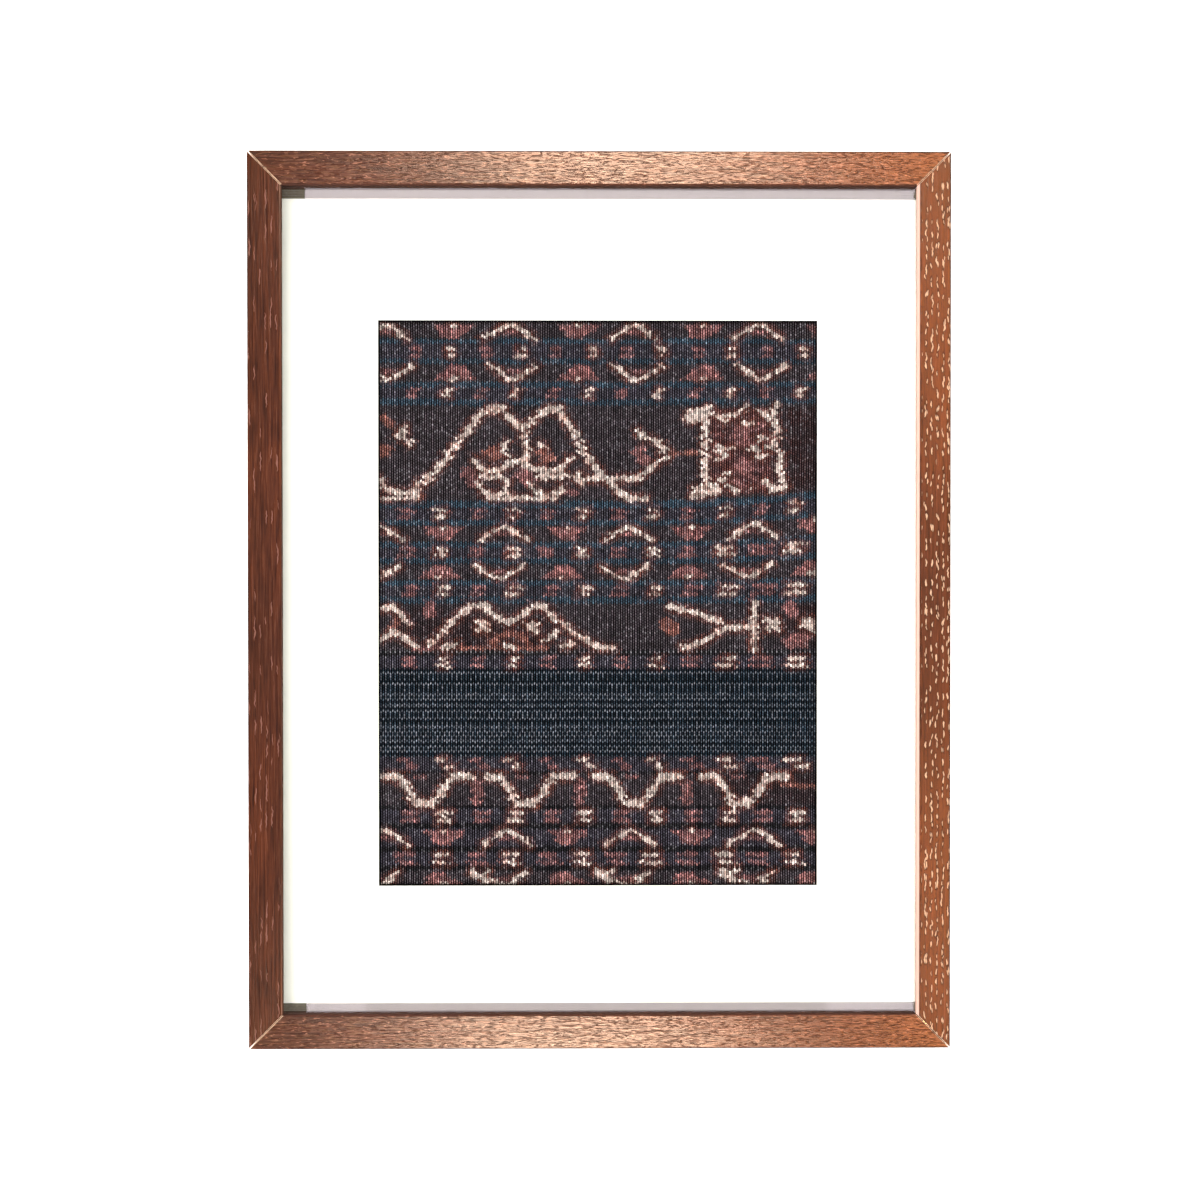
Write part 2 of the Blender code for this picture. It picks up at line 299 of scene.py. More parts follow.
# Figure rows: dye, half width of the line, and its points from left to right, across and down
FIGURES = [
    # Double arch of the upper row
    ("cream", 1.25, [(19.5, 71.2), (26.0, 65.6), (32.8, 56.4), (39.5, 47.4)]),
    ("cream", 1.25, [(39.5, 47.4), (45.0, 41.0), (48.4, 39.0)]),
    ("cream", 1.7, [(48.2, 38.9), (54.4, 38.8)]),
    ("cream", 1.2, [(54.4, 39.2), (58.5, 43.2), (61.5, 46.4)]),
    ("cream", 1.2, [(61.5, 46.4), (65.6, 45.8), (69.8, 41.6), (73.6, 39.0)]),
    ("cream", 1.7, [(73.5, 38.8), (79.0, 38.8)]),
    ("cream", 1.3, [(79.2, 39.2), (82.4, 44.0), (85.4, 49.2), (89.0, 55.2), (94.5, 63.0)]),
    ("cream", 1.2, [(94.5, 63.0), (100.4, 69.6), (105.4, 75.2), (109.4, 77.6)]),
    ("cream", 1.0, [(109.0, 77.9), (117.8, 78.0)]),
    # Hook at the left, and the marks above it
    ("cream", 1.2, [(0.8, 69.4), (2.6, 73.4), (8.6, 75.6), (16.2, 75.4), (17.2, 71.4)]),
    ("cream", 0.8, [(1.6, 77.9), (18.4, 77.8)]),
    ("cream", 1.1, [(11.6, 46.8), (8.4, 50.0), (12.6, 52.4), (13.8, 54.0)]),
    ("rust", 2.6, [(0.5, 57.4), (4.2, 56.6)]),
    ("rust", 2.0, [(2.6, 43.0), (5.0, 45.2)]),
    # Stem, shelves and blobs under the arch
    ("cream", 1.2, [(63.2, 47.0), (64.6, 53.6), (66.6, 58.6), (62.0, 61.6), (57.0, 62.4)]),
    ("cream", 1.1, [(42.2, 60.4), (44.4, 64.4), (50.4, 66.2), (56.2, 63.6)]),
    ("cream", 1.1, [(56.2, 63.6), (61.6, 61.8), (68.0, 65.0)]),
    ("cream", 1.1, [(68.0, 65.0), (78.4, 66.2), (82.2, 62.6), (84.0, 60.4)]),
    ("rust", 3.3, [(50.0, 58.4), (51.4, 57.8)]),
    ("cream", 0.9, [(56.4, 53.2), (54.4, 56.0), (56.8, 58.6)]),
    ("rust", 3.4, [(73.0, 58.2), (74.2, 59.4)]),
    ("cream", 0.9, [(71.2, 53.8), (73.0, 55.0)]),
    ("cream", 1.1, [(46.4, 68.4), (55.0, 68.4)]),
    ("cream", 1.1, [(72.0, 68.4), (80.6, 68.4)]),
    ("red", 3.0, [(39.4, 67.0), (41.0, 70.0)]),
    ("red", 3.2, [(63.2, 67.8), (65.6, 69.4)]),
    ("cream", 1.1, [(43.6, 70.8), (45.0, 75.0), (50.4, 77.0), (55.0, 75.6), (56.6, 70.6)]),
    ("cream", 1.1, [(66.2, 70.8), (67.6, 74.8), (72.8, 76.8), (78.4, 75.6), (80.8, 73.0)]),
    ("cream", 0.9, [(49.0, 77.8), (78.4, 77.8)]),
    ("red", 1.2, [(80.8, 75.2), (86.4, 75.6)]),
    # Tail to the right of the arch, with a pink blob and a bar
    ("cream", 1.0, [(82.4, 67.6), (88.4, 69.6), (99.4, 69.2), (113.8, 69.0), (120.6, 64.0)]),
    ("cream", 1.0, [(120.6, 64.0), (123.4, 60.6), (126.4, 60.4)]),
    ("cream", 1.0, [(88.6, 66.8), (88.8, 71.0)]),
    ("red", 2.9, [(114.8, 57.4), (115.8, 60.4)]),
    ("cream", 1.1, [(113.2, 48.2), (116.4, 51.0), (119.2, 52.2)]),
    ("cream", 1.1, [(122.0, 52.8), (124.2, 55.0), (126.4, 57.0)]),
    ("rust", 1.1, [(129.6, 58.0), (143.0, 57.8)]),
    # Panel at the right
    ("cream", 2.7, [(137.0, 42.2), (144.0, 39.6)]),
    ("cream", 1.5, [(143.4, 42.0), (143.2, 50.0), (143.0, 62.0), (144.4, 72.0)]),
    ("cream", 2.9, [(139.4, 75.4), (147.0, 74.4)]),
    ("cream", 1.0, [(148.0, 41.4), (151.6, 44.0)]),
    ("cream", 1.0, [(160.6, 37.6), (160.0, 39.4)]),
    ("cream", 1.1, [(148.6, 55.4), (152.0, 58.6), (149.2, 61.2)]),
    ("cream", 1.1, [(153.0, 72.6), (156.4, 75.8)]),
    ("cream", 1.0, [(163.4, 56.6), (167.6, 58.2)]),
    ("cream", 1.0, [(167.0, 40.0), (170.4, 42.6)]),
    ("red", 3.4, [(158.4, 49.8), (159.8, 52.0)]),
    ("red", 3.2, [(159.6, 64.0), (161.6, 66.0)]),
    ("cream", 1.3, [(173.8, 37.4), (173.2, 43.0), (175.0, 50.0), (173.6, 56.0), (176.8, 62.0)]),
    ("cream", 1.3, [(176.8, 62.0), (176.4, 70.0), (178.2, 76.0)]),
    ("cream", 1.2, [(169.6, 72.4), (172.6, 76.2), (178.0, 76.4)]),
    # Double arch of the lower row
    ("cream", 1.1, [(22.4, 142.4), (28.0, 136.0), (33.4, 130.6), (39.6, 125.8)]),
    ("cream", 1.2, [(39.4, 125.2), (46.4, 125.0)]),
    ("cream", 1.1, [(46.6, 125.6), (50.6, 128.8), (56.0, 132.2), (61.6, 130.4), (67.4, 125.8)]),
    ("cream", 1.2, [(67.4, 125.2), (72.4, 125.2)]),
    ("cream", 1.1, [(72.6, 125.8), (77.6, 130.8), (83.6, 136.0), (89.2, 139.6), (96.0, 142.6)]),
    ("cream", 0.9, [(95.0, 143.2), (103.2, 143.5)]),
    ("cream", 1.1, [(43.0, 132.4), (47.0, 136.0)]),
    ("cream", 1.1, [(46.6, 132.8), (43.0, 135.8)]),
    ("cream", 1.1, [(64.4, 132.6), (68.6, 136.2)]),
    ("cream", 1.0, [(68.2, 133.0), (66.2, 135.4)]),
    ("rust", 1.6, [(49.0, 141.6), (53.6, 138.2), (57.4, 137.2), (61.6, 138.4), (66.0, 141.6)]),
    ("cream", 1.0, [(55.6, 142.6), (58.8, 142.8)]),
    ("red", 0.9, [(14.6, 143.6), (26.0, 143.5)]),
    ("cream", 0.9, [(28.0, 143.4), (34.6, 141.6)]),
    ("rust", 0.9, [(35.0, 143.5), (74.0, 143.4)]),
    ("cream", 1.1, [(73.4, 140.4), (77.2, 136.4)]),
    ("cream", 0.9, [(80.6, 143.2), (85.4, 141.4)]),
    # Marks at the left of the lower row
    ("cream", 1.1, [(1.8, 126.4), (5.8, 125.4), (11.4, 131.0), (12.6, 132.8)]),
    ("cream", 1.1, [(1.4, 139.4), (6.8, 136.4), (12.0, 139.8), (16.4, 142.6)]),
    ("red", 2.4, [(22.0, 125.4), (22.4, 128.4)]),
    ("rust", 1.0, [(4.6, 134.4), (7.6, 132.8)]),
    # Marks at the right of the lower row
    ("cream", 1.1, [(128.2, 125.2), (131.0, 126.6), (136.2, 127.4)]),
    ("cream", 1.1, [(136.2, 127.4), (142.2, 129.6), (150.0, 132.2)]),
    ("cream", 1.3, [(152.4, 134.6), (163.4, 134.4)]),
    ("cream", 1.4, [(164.8, 124.6), (165.2, 134.0), (164.8, 143.8)]),
    ("cream", 1.1, [(133.4, 143.4), (142.2, 141.0), (148.8, 136.8)]),
    ("rust", 3.1, [(126.4, 133.4), (128.6, 135.2)]),
    ("cream", 1.2, [(170.6, 131.4), (175.4, 135.8)]),
    ("cream", 1.2, [(175.0, 131.6), (171.0, 135.8)]),
    ("cream", 1.3, [(186.0, 133.8), (191.0, 131.8)]),
    ("cream", 1.1, [(187.0, 131.8), (190.6, 136.0)]),
    ("red", 3.0, [(180.2, 126.0), (181.6, 127.6)]),
    ("red", 3.2, [(181.6, 140.8), (186.6, 139.8)]),
    # Small forks in the last row
    ("cream", 1.1, [(41.6, 241.6), (45.0, 245.2), (48.4, 241.6)]),
    ("cream", 1.0, [(45.0, 245.2), (45.2, 248.0)]),
    ("cream", 1.1, [(96.0, 241.6), (99.4, 245.2), (102.8, 241.6)]),
    ("cream", 1.0, [(99.4, 245.2), (99.6, 248.0)]),
    ("cream", 1.1, [(151.0, 241.6), (154.2, 245.2), (157.6, 241.6)]),
    ("cream", 1.0, [(154.2, 245.2), (154.0, 248.0)]),
]

# Where the speckled panel is: left, right, top, bottom. And how many specks it has.
PANEL = (147.0, 172.0, 39.5, 76.5)
SPECK_COUNT = 34

# The ground turns redder inside the panel and in places of the two figure rows and the zigzag row:
# left, right, top, bottom, dye, strength
TINTS = [
    (145.0, 174.0, 38.0, 78.0, "panel", 0.85),
    (178.0, 194.0, 38.0, 78.6, "edge", 0.9),
    (14.0, 30.0, 125.0, 143.0, "edge", 0.6),
    (30.0, 76.0, 130.0, 144.0, "edge", 0.75),
    (150.0, 194.0, 199.0, 212.6, "edge", 0.6),
    (176.0, 194.0, 124.6, 144.0, "edge", 0.8),
]


def reach(du, dv, half, feather):
    """How much a mark covers at a distance from its middle line."""
    return np.clip((half - np.hypot(du, dv)) / feather + 0.5, 0, 1)


class Chart:
    """Dye amounts at the middle of every float, laid down mark by mark."""

    FEATHER = 0.9
    UNEVEN = 0.7
    HALO_REACH = 1.7
    HALO_FEATHER = 2.2
    END_FEATHER = 0.7
    BLUNT = 0.72

    def __init__(self, across, down):
        self.across, self.down = across, down
        self.amount = {name: np.zeros_like(across) for name in ("cream", "red", "rust")}
        self.soft = np.zeros_like(across)
        self.uneven = smooth_noise(np.random.default_rng(SEED + 2), across, down, 5.5)

    def add(self, dye, cover):
        """Lays a mark over the ones that are there."""
        self.amount[dye] = np.maximum(self.amount[dye], cover)

    def line(self, dye, half, points):
        """A stroke through some points. A cream one also leaves a soft halo around it."""
        for (u0, v0), (u1, v1) in zip(points, points[1:]):
            run = max((u1 - u0) ** 2 + (v1 - v0) ** 2, 1e-6)
            at = ((self.across - u0) * (u1 - u0) + (self.down - v0) * (v1 - v0)) / run
            at = np.clip(at, 0, 1)
            du = self.across - u0 - at * (u1 - u0)
            dv = self.down - v0 - at * (v1 - v0)
            self.add(dye, reach(du, dv, half + self.UNEVEN * self.uneven, self.FEATHER))
            if dye == "cream":
                halo = reach(du, dv, half + self.HALO_REACH, self.HALO_FEATHER)
                self.soft = np.maximum(self.soft, halo)

    def wedge(self, dye, middle, half, wide, tip):
        """A filled triangle with a blunt tip, thinner dyed around the middle of its wide side."""
        share = np.clip((self.down - wide) / (tip - wide), 0, 1)
        edge = half * (1 - self.BLUNT * share) - np.abs(self.across - middle)
        inside = np.clip(edge / self.FEATHER + 0.5, 0, 1)
        low, high = sorted((wide, tip))
        inside *= np.clip((self.down - low) / self.END_FEATHER + 0.5, 0, 1)
        inside *= np.clip((high - self.down) / self.END_FEATHER + 0.5, 0, 1)
        core = np.hypot((self.across - middle) / 5.0, (self.down - wide) / 3.0)
        thin = 1 - 0.45 * np.clip(1.2 - core, 0, 1)
        self.add(dye, inside * (1.15 + 0.4 * self.uneven) * thin)


def dash_rows(chart, random):
    """Marks of two short dashes with a thin tie between them, red and cream in turn."""
    for first, upper, lower, length, slip in DASH_ROWS:
        for k in range(DASH_COUNT):
            middle = first + k * DASH_PITCH + random.uniform(-0.7, 0.7)
            if k % 2:
                dye, thick, cap = "cream", DASH_HALF, DASH_CAP
            else:
                dye, thick, cap = "red", RED_DASH_HALF, 0.0
            smear = np.clip((middle - SMEAR_START) / SMEAR_RUN, 0, 1)
            long = 1.0 + SMEAR_MOST * (upper in SMEARED_ROWS) * smear
            for at, height in ((middle, upper), (middle + slip, lower)):
                half = (length / 2 - cap) * random.uniform(0.8, 1.15) * long
                chart.line(dye, thick, [(at - half, height), (at + half, height)])
            chart.line(dye, TIE_HALF, [(middle, upper), (middle + slip, lower)])


def peak_rows(chart, random):
    """Cream outlines of peaks or cups, and filled red wedges between them."""
    for wide, tip, first_cream, first_red in PEAK_ROWS:
        for k in range(PEAK_COUNT):
            middle = first_cream + k * PEAK_PITCH
            half = PEAK_HALF * random.uniform(0.9, 1.1)
            knee = wide + KNEE_UP * (tip - wide)
            shoulder = wide + SHOULDER_UP * (tip - wide)
            side = [(half, wide), (KNEE_OUT * half, knee), (SHOULDER_OUT * half, shoulder)]
            left = [(middle - out, height) for out, height in side]
            right = [(middle + out, height) for out, height in reversed(side)]
            chart.line("cream", PEAK_LINE, left + [(middle, tip)] + right)
            bar = SHOULDER_OUT * half
            chart.line("red", PEAK_LINE, [(middle - bar, knee), (middle + bar, knee)])
            middle = first_red + k * PEAK_PITCH
            upper, lower = sorted((wide, tip))
            if tip < wide:
                chart.wedge("red", middle, WEDGE_HALF, upper, lower)
                half, run, height = 0.6, 0.8, upper + 0.4
            else:
                chart.wedge("red", middle, WEDGE_HALF, lower, upper)
                half, run, height = 0.7, 1.0, lower - 0.6
            chart.line("cream", half, [(middle - run, height), (middle + run, height)])


def zigzag_row(chart):
    """Troughs with a flat bottom and a shelf at each side, and a red block between two shelves."""
    top, bottom = ZIGZAG_TOP, ZIGZAG_BOTTOM
    for trough in ZIGZAG_TROUGHS:
        left = [(trough - 17.0, top), (trough - 11.0, top), (trough - 3.4, bottom)]
        right = [(trough + 3.2, bottom), (trough + 12.5, top), (trough + 20.5, top)]
        chart.line("cream", ZIGZAG_LINE, left + right)
        chart.line("red", 0.8, [(trough - 4.0, top + 0.4), (trough + 1.0, top + 0.2)])
    chart.line("rust", 0.9, [(178.0, ZIGZAG_TAIL), (192.0, ZIGZAG_TAIL + 0.4)])
    for middle in ZIGZAG_BLOCKS:
        chart.line("red", 2.4, [(middle, top + 3.6), (middle, bottom - 1.2)])


def speckle_panel(chart, random):
    """Loose cream and red specks inside the panel at the right of the upper figure row."""
    left, right, top, bottom = PANEL
    for k in range(SPECK_COUNT):
        u, v = random.uniform(left, right), random.uniform(top, bottom)
        dye = "cream" if k % 3 == 0 else "red"
        run = random.uniform(0.6, 2.6)
        half = random.uniform(0.5, 1.0)
        chart.line(dye, half, [(u - run, v), (u + run, v + random.uniform(-1.2, 1.2))])


def bow(across, down):
    """How far the stripes rise towards the right edge, most of all in the middle of the cloth."""
    side = np.clip((across - 130.0) / 62.0, 0, None) ** 1.6
    return 4.4 * side * np.exp(-(((down - 80.0) / 34.0) ** 2))


def smooth_noise(random, across, down, size, waves=6):
    """A sum of a few slow waves, for tones and for how the cloth lies."""
    total = np.zeros_like(across)
    for _ in range(waves):
        angle = random.uniform(0, math.tau)
        pitch = size * random.uniform(0.7, 1.6)
        phase = random.uniform(0, math.tau)
        way = across * math.cos(angle) + down * math.sin(angle)
        total += np.sin(way / pitch * math.tau + phase)
    return total / waves


def ground_colours(across, down, random):
    """The striped ground under the marks, one colour for each float."""
    wave = 0.35 * smooth_noise(random, across, down * 0.2, 60.0)
    ends = np.array([end for end, _ in GROUNDS])
    tones = np.array([DYES[name] for _, name in GROUNDS])
    index = np.clip(np.searchsorted(ends, down + wave), 0, len(GROUNDS) - 1)
    colours = tones[index]
    for left, right, top, bottom, name, strength in TINTS:
        inside = np.clip((across - left) / 2.0, 0, 1) * np.clip((right - across) / 2.0, 0, 1)
        inside *= np.clip((down - top) / 1.2, 0, 1) * np.clip((bottom - down) / 1.2, 0, 1)
        patch = 0.75 + 0.5 * smooth_noise(random, across, down, 9.0)
        share = np.clip(strength * inside * patch, 0, 1)[..., None]
        colours = colours * (1 - share) + np.array(DYES[name]) * share
    return colours, index


def dye_floats(across, down, random):
    """The colour of every float, and how bright its pale tip, a painted highlight, is."""
    thread = random.normal(0, 0.9, across.shape[0])[:, None]
    chart = Chart(across + thread + random.normal(0, 0.2, across.shape), down)
    dash_rows(chart, random)
    peak_rows(chart, random)
    zigzag_row(chart)
    for dye, half, points in FIGURES:
        chart.line(dye, half, points)
    colours, index = ground_colours(across, down, random)
    speckle_panel(chart, random)
    slow = smooth_noise(random, across, down, 14.0)
    patchy = smooth_noise(random, across * 0.6, down, 5.0)
    cream = chart.amount["cream"]
    halo = np.clip(chart.soft - 0.5 * cream, 0, 1)

    # Halos and reds soak in softly. A float turns cream when its mark covers more than its own chance
    for name, cover, most in (
        ("halo", halo, 0.7),
        ("red", chart.amount["red"], 0.9),
        ("rust", chart.amount["rust"], 0.9),
        ("cream", cream, 1.0),
    ):
        chance = random.uniform(0, 1, across.shape)
        shade = random.uniform(0, 1, across.shape)[..., None]
        if name == "cream":
            share = np.clip((cover - 0.5 * chance + 0.1 * patchy) / 0.35, 0, 1) * (cover > 0.03)
            stained = np.clip(shade - 0.45 + 0.5 * slow[..., None], 0, 1)
            tone = np.array(DYES["cream"]) * (1 - stained) + np.array(DYES["tan"]) * stained
        elif name == "halo":
            share = most * cover * np.clip(1.1 - 0.6 * chance + 0.5 * patchy, 0, 1)
            tone = np.array(DYES["halo"]) * (0.8 + 0.4 * shade)
        else:
            share = most * cover * np.clip(1.15 - 0.5 * chance + 0.3 * patchy, 0, 1)
            tone = np.array(DYES[name]) * (0.62 + 0.5 * shade)
        share = np.clip(share, 0, 1)
        colours = colours * (1 - share[..., None]) + tone * share[..., None]
    streak = 1 + 0.10 * random.normal(0, 1, across.shape[0])[:, None]
    column = 1 + 0.1 * random.normal(0, 1, across.shape[1])[None, :]
    column = column * (1 + 0.12 * np.cos(math.pi * np.arange(across.shape[1])))[None, :]
    value = streak * column * np.exp(0.26 * random.normal(0, 1, across.shape)) * (1 + 0.1 * slow)
    colours = colours * np.clip(value, 0.3, 2.2)[..., None]
    # Painted highlight: a random pale glint on the top of some floats
    tip = (0.05 + 0.44 * random.uniform(0, 1, across.shape) ** 7) * column
    return colours, tip, index


def indigo_texture(colours, tip, across, down, index, column, random):
    """The plain indigo stretch: dotted lines, and pale ticks on every second rib between them."""
    navy = [i for i, (_, name) in enumerate(GROUNDS) if name == "navy"][0]
    plain = index == navy
    nearest = np.min(np.abs(down[..., None] - np.array(DOTTED_LINES)), axis=-1)
    line = plain & (nearest < LINE_REACH)
    tick = plain & ~line & (column % 2 == 0)
    fade = 1.15 - 0.3 * np.clip(across / 192.0, 0, 1)
    tip[line] = (0.16 + 0.5 * random.uniform(0, 1, line.sum()) ** 1.5) * fade[line]
    tip[tick] = (0.08 + 0.42 * random.uniform(0, 1, tick.sum()) ** 2) * fade[tick]
    ribbed = (np.abs(down - RIBBED_LINE) < LINE_REACH) & (column % 2 == 0)
    tip[ribbed] = 0.45 + 0.4 * random.uniform(0, 1, ribbed.sum())
    gap = plain & ~line & ((column % 2 == 1) | (nearest < GAP_REACH))
    colours[gap] *= GAP_TONE
    tip[gap] = 0.02
    return colours, tip


def middles(edges):
    return (edges[:-1] + edges[1:]) / 2


def cloth_colours(rows, columns, down_edges, across_edges):
    """Dye and pale tip of each cell; the pale tip is a painted highlight, and in the indigo stretch also
    pale dots. A float covers two cells, and every second rib is one cell off.
    """
    random = np.random.default_rng(SEED)
    floats = rows // 2 + 2
    column = np.arange(columns)[None, :] * np.ones((floats, 1), int)
    across = middles(across_edges)[None, :] * np.ones((floats, 1))
    down = down_edges[0] + THREAD * (2 * np.arange(floats)[:, None] + 1 - column % 2)
    colours, tip, index = dye_floats(across, down, random)
    colours, tip = indigo_texture(colours, tip, across, down, index, column, random)
    row = np.arange(rows)[:, None]
    cell_column = np.arange(columns)[None, :]
    which = (row + cell_column % 2) // 2
    return np.dstack([colours[which, cell_column], tip[which, cell_column]])


def rim_shade(across_edges, down_edges, width, height):
    """Cells next to the window's edge lie in the mat's shade."""
    across = middles(across_edges)
    down = middles(down_edges)
    side = np.minimum(across, width - across)[None, :]
    end = np.minimum(down, height - down)[:, None]
    return 0.08 + 0.92 * np.clip((np.minimum(side, end) - 0.6) / 0.9, 0, 1)


def cloth_points(low, high, across, down, width, height):
    """A grid of points with a slight sway: the woven cells, and one wide hidden cell on every side."""
    rows, columns = len(down) + 2, len(across) + 2
    u = np.concatenate([[-OVERLAP], across, [width + OVERLAP]])[None, :] * np.ones((rows, 1))
    v = np.concatenate([[-OVERLAP], down, [height + OVERLAP]])[:, None] * np.ones((1, columns))
    random = np.random.default_rng(SEED + 1)
    inner = np.zeros_like(u)
    inner[1:-1, 1:-1] = 1
    sway = 0.22 * smooth_noise(random, u * 0.6, v, 70.0) + 0.12 * smooth_noise(random, u, v, 22.0)
    rise = bow(u, v) + 0.2 * smooth_noise(random, u, v * 0.4, 55.0)
    lift = 0.10 * smooth_noise(random, u, v, 38.0) - 0.14
    return np.dstack([
        low[0] + (u + OVERLAP + sway * inner) * MM,
        high[1] - (v + OVERLAP - rise * inner) * MM,
        high[2] + lift * inner * MM,
    ])


def cloth_mesh(grid, floor_height):
    """The woven face with a plain underside and edge, and how many quads the face has."""
    rows, columns = grid.shape[:2]
    points = grid.reshape(-1, 3)
    number = np.arange(rows * columns).reshape(rows, columns)
    quads = np.dstack([number[1:, :-1], number[1:, 1:], number[:-1, 1:], number[:-1, :-1]])
    quads = quads.reshape(-1, 4)
    ring = np.concatenate([number[-1, :-1], number[:0:-1, -1], number[0, :0:-1], number[:-1, 0]])
    below = points[ring].copy()
    below[:, 2] = floor_height
    under = len(points) + np.arange(len(ring))
    sides = np.column_stack([under, np.roll(under, -1), np.roll(ring, -1), ring])
    points = np.vstack([points, below])
    corner_list = np.concatenate([quads.ravel(), sides.ravel(), under[::-1]])
    four_sided = len(quads) + len(sides)
    starts = np.arange(four_sided + 1) * 4
    sizes = np.concatenate([np.full(four_sided, 4), [len(under)]])

    mesh = bpy.data.meshes.new("ikat_cloth")
    mesh.vertices.add(len(points))
    mesh.vertices.foreach_set("co", points.astype(np.float32).ravel())
    mesh.loops.add(len(corner_list))
    mesh.loops.foreach_set("vertex_index", corner_list.astype(np.int32))
    mesh.polygons.add(len(sizes))
    mesh.polygons.foreach_set("loop_start", starts.astype(np.int32))
    mesh.polygons.foreach_set("loop_total", sizes.astype(np.int32))
    mesh.update(calc_edges=True)
    return mesh, len(quads)


def add_weave(mesh, rows, columns, quads):
    """Weave coordinates: ribs across, floats down, with every second rib offset by half a float."""
    row, column = np.mgrid[-1 : rows + 1, -1 : columns + 1]
    odd = column % 2
    left, right = column, column + 1
    upper, lower = (row + odd) / 2, (row + 1 + odd) / 2
    corner_places = ((left, lower), (right, lower), (right, upper), (left, upper))
    weave = np.stack([np.stack(place, -1) for place in corner_places], axis=2)
    uv = np.zeros((len(mesh.loops), 2), np.float32)
    uv[: quads * 4] = weave.reshape(-1, 2)
    mesh.uv_layers.new(name="weave").data.foreach_set("uv", uv.ravel())


def add_dye(mesh, cells, quads):
    """Colour and pale tip of every cell: the colour holds the painted shade along the window's edge, the
    pale tip is a painted highlight that also draws pale dots. What lies behind the mat is plain brown.
    """
    plain = np.array([*DYES["brown"], 0.1])
    rows, columns = cells.shape[:2]
    padded = np.ones((rows + 2, columns + 2, 4)) * plain
    padded[1:-1, 1:-1] = cells
    colour = np.ones((len(mesh.loops), 4)) * plain
    colour[: quads * 4] = np.repeat(padded.reshape(-1, 4), 4, axis=0)
    dye = mesh.color_attributes.new(name="dye", type="FLOAT_COLOR", domain="CORNER")
    dye.data.foreach_set("color", colour.astype(np.float32).ravel())


def build_cloth():
    """The cloth, and the width and the height of its sheet in metres."""
    low, high = corners("textile")
    width, height = (high - low)[:2] / MM - 2 * OVERLAP
    columns = int((width + 2 * WOVEN_MARGIN) / RIB)
    rows = int((height + 2 * WOVEN_MARGIN) / THREAD)
    across = (np.arange(columns + 1) - columns / 2) * RIB + width / 2
    down = (np.arange(rows + 1) - rows / 2) * THREAD + height / 2
    cells = cloth_colours(rows, columns, down, across)
    cells *= rim_shade(across, down, width, height)[..., None]
    mesh, quads = cloth_mesh(cloth_points(low, high, across, down, width, height), low[2])
    add_weave(mesh, rows, columns, quads)
    add_dye(mesh, cells, quads)
    return add_object("ikat_cloth", mesh), (width + 2 * OVERLAP) * MM, (height + 2 * OVERLAP) * MM


class Nodes:
    """Short ways to add and join shader nodes of one material."""

    def __init__(self, name):
        self.material = bpy.data.materials.new(name)
        self.material.use_nodes = True
        self.tree = self.material.node_tree
        self.shader = self.tree.nodes["Principled BSDF"]
        self.output = self.tree.nodes["Material Output"]

    def new(self, kind, inputs=None, **settings):
        node = self.tree.nodes.new(kind)
        for key, value in settings.items():
            setattr(node, key, value)
        return self.give(node, inputs or {})

    def give(self, node, inputs):
        """Joins inputs of a node, by name or number, to other nodes' outputs, or makes them constant."""
        for key, value in inputs.items():
            if isinstance(value, bpy.types.NodeSocket):
                self.tree.links.new(value, node.inputs[key])
            else:
                node.inputs[key].default_value = value
        return node

    def math(self, operation, a, b=0.0, clamp=False):
        node = self.new("ShaderNodeMath", {0: a, 1: b}, operation=operation, use_clamp=clamp)
        return node.outputs[0]

    def plus(self, a, b):
        return self.math("ADD", a, b)

    def minus(self, a, b, clamp=False):
        return self.math("SUBTRACT", a, b, clamp)

    def times(self, a, b, clamp=False):
        return self.math("MULTIPLY", a, b, clamp)

    def mix(self, share, a, b, blend="MIX"):
        inputs = {0: share, 6: a, 7: b}
        return self.new("ShaderNodeMix", inputs, data_type="RGBA", blend_type=blend).outputs[2]

    def tint(self, share, base, name):
        """The base with a share of one of the named tones."""
        return self.mix(share, base, (*TONES[name], 1.0))

    def ramp(self, value, low, low_colour, high, high_colour):
        """One colour at a low value and another at a high one, with an even change between."""
        node = self.new("ShaderNodeValToRGB", {0: value})
        stops = ((low, low_colour), (high, high_colour))
        for mark, (at, colour) in zip(node.color_ramp.elements, stops):
            mark.position = at
            mark.color = (*colour, 1.0)
        return node.outputs[0]

    def steps(self, value, start, end):
        """A soft step from 0 at the start to 1 at the end. The end may be the lower one."""
        inputs = {"Value": value, "From Min": start, "From Max": end}
        node = self.new("ShaderNodeMapRange", inputs, interpolation_type="SMOOTHSTEP", clamp=True)
        return node.outputs[0]

    def noise(self, vector, scale=1.0, detail=3.0, rough=0.5, distortion=0.0):
        inputs = {"Vector": vector, "Scale": scale, "Detail": detail}
        inputs.update({"Roughness": rough, "Distortion": distortion})
        return self.new("ShaderNodeTexNoise", inputs).outputs[0]

    def place(self):
        """The object's own coordinates in metres."""
        return self.new("ShaderNodeTexCoord").outputs["Object"]

    def split(self, vector):
        """The three numbers of a vector."""
        return self.new("ShaderNodeSeparateXYZ", {0: vector}).outputs

    def channels(self, colour):
        """The three channels of a colour."""
        return self.new("ShaderNodeSeparateColor", {0: colour}).outputs

    def vector(self, x, y, z):
        return self.new("ShaderNodeCombineXYZ", {0: x, 1: y, 2: z}).outputs[0]

    def surface(self, colour, roughness, specular=0.5):
        inputs = {"Base Color": colour, "Roughness": roughness, "Specular IOR Level": specular}
        self.give(self.shader, inputs)

    def bump(self, height, distance, strength=1.0):
        node = self.new("ShaderNodeBump", {"Height": height, "Distance": distance, "Strength": strength})
        self.give(self.shader, {"Normal": node.outputs[0]})

    def blend_in(self, share, other):
        """Mixes a share of another shader into the surface."""
        node = self.new("ShaderNodeMixShader", {0: share, 1: self.shader.outputs[0], 2: other.outputs[0]})
        self.give(self.output, {"Surface": node.outputs[0]})


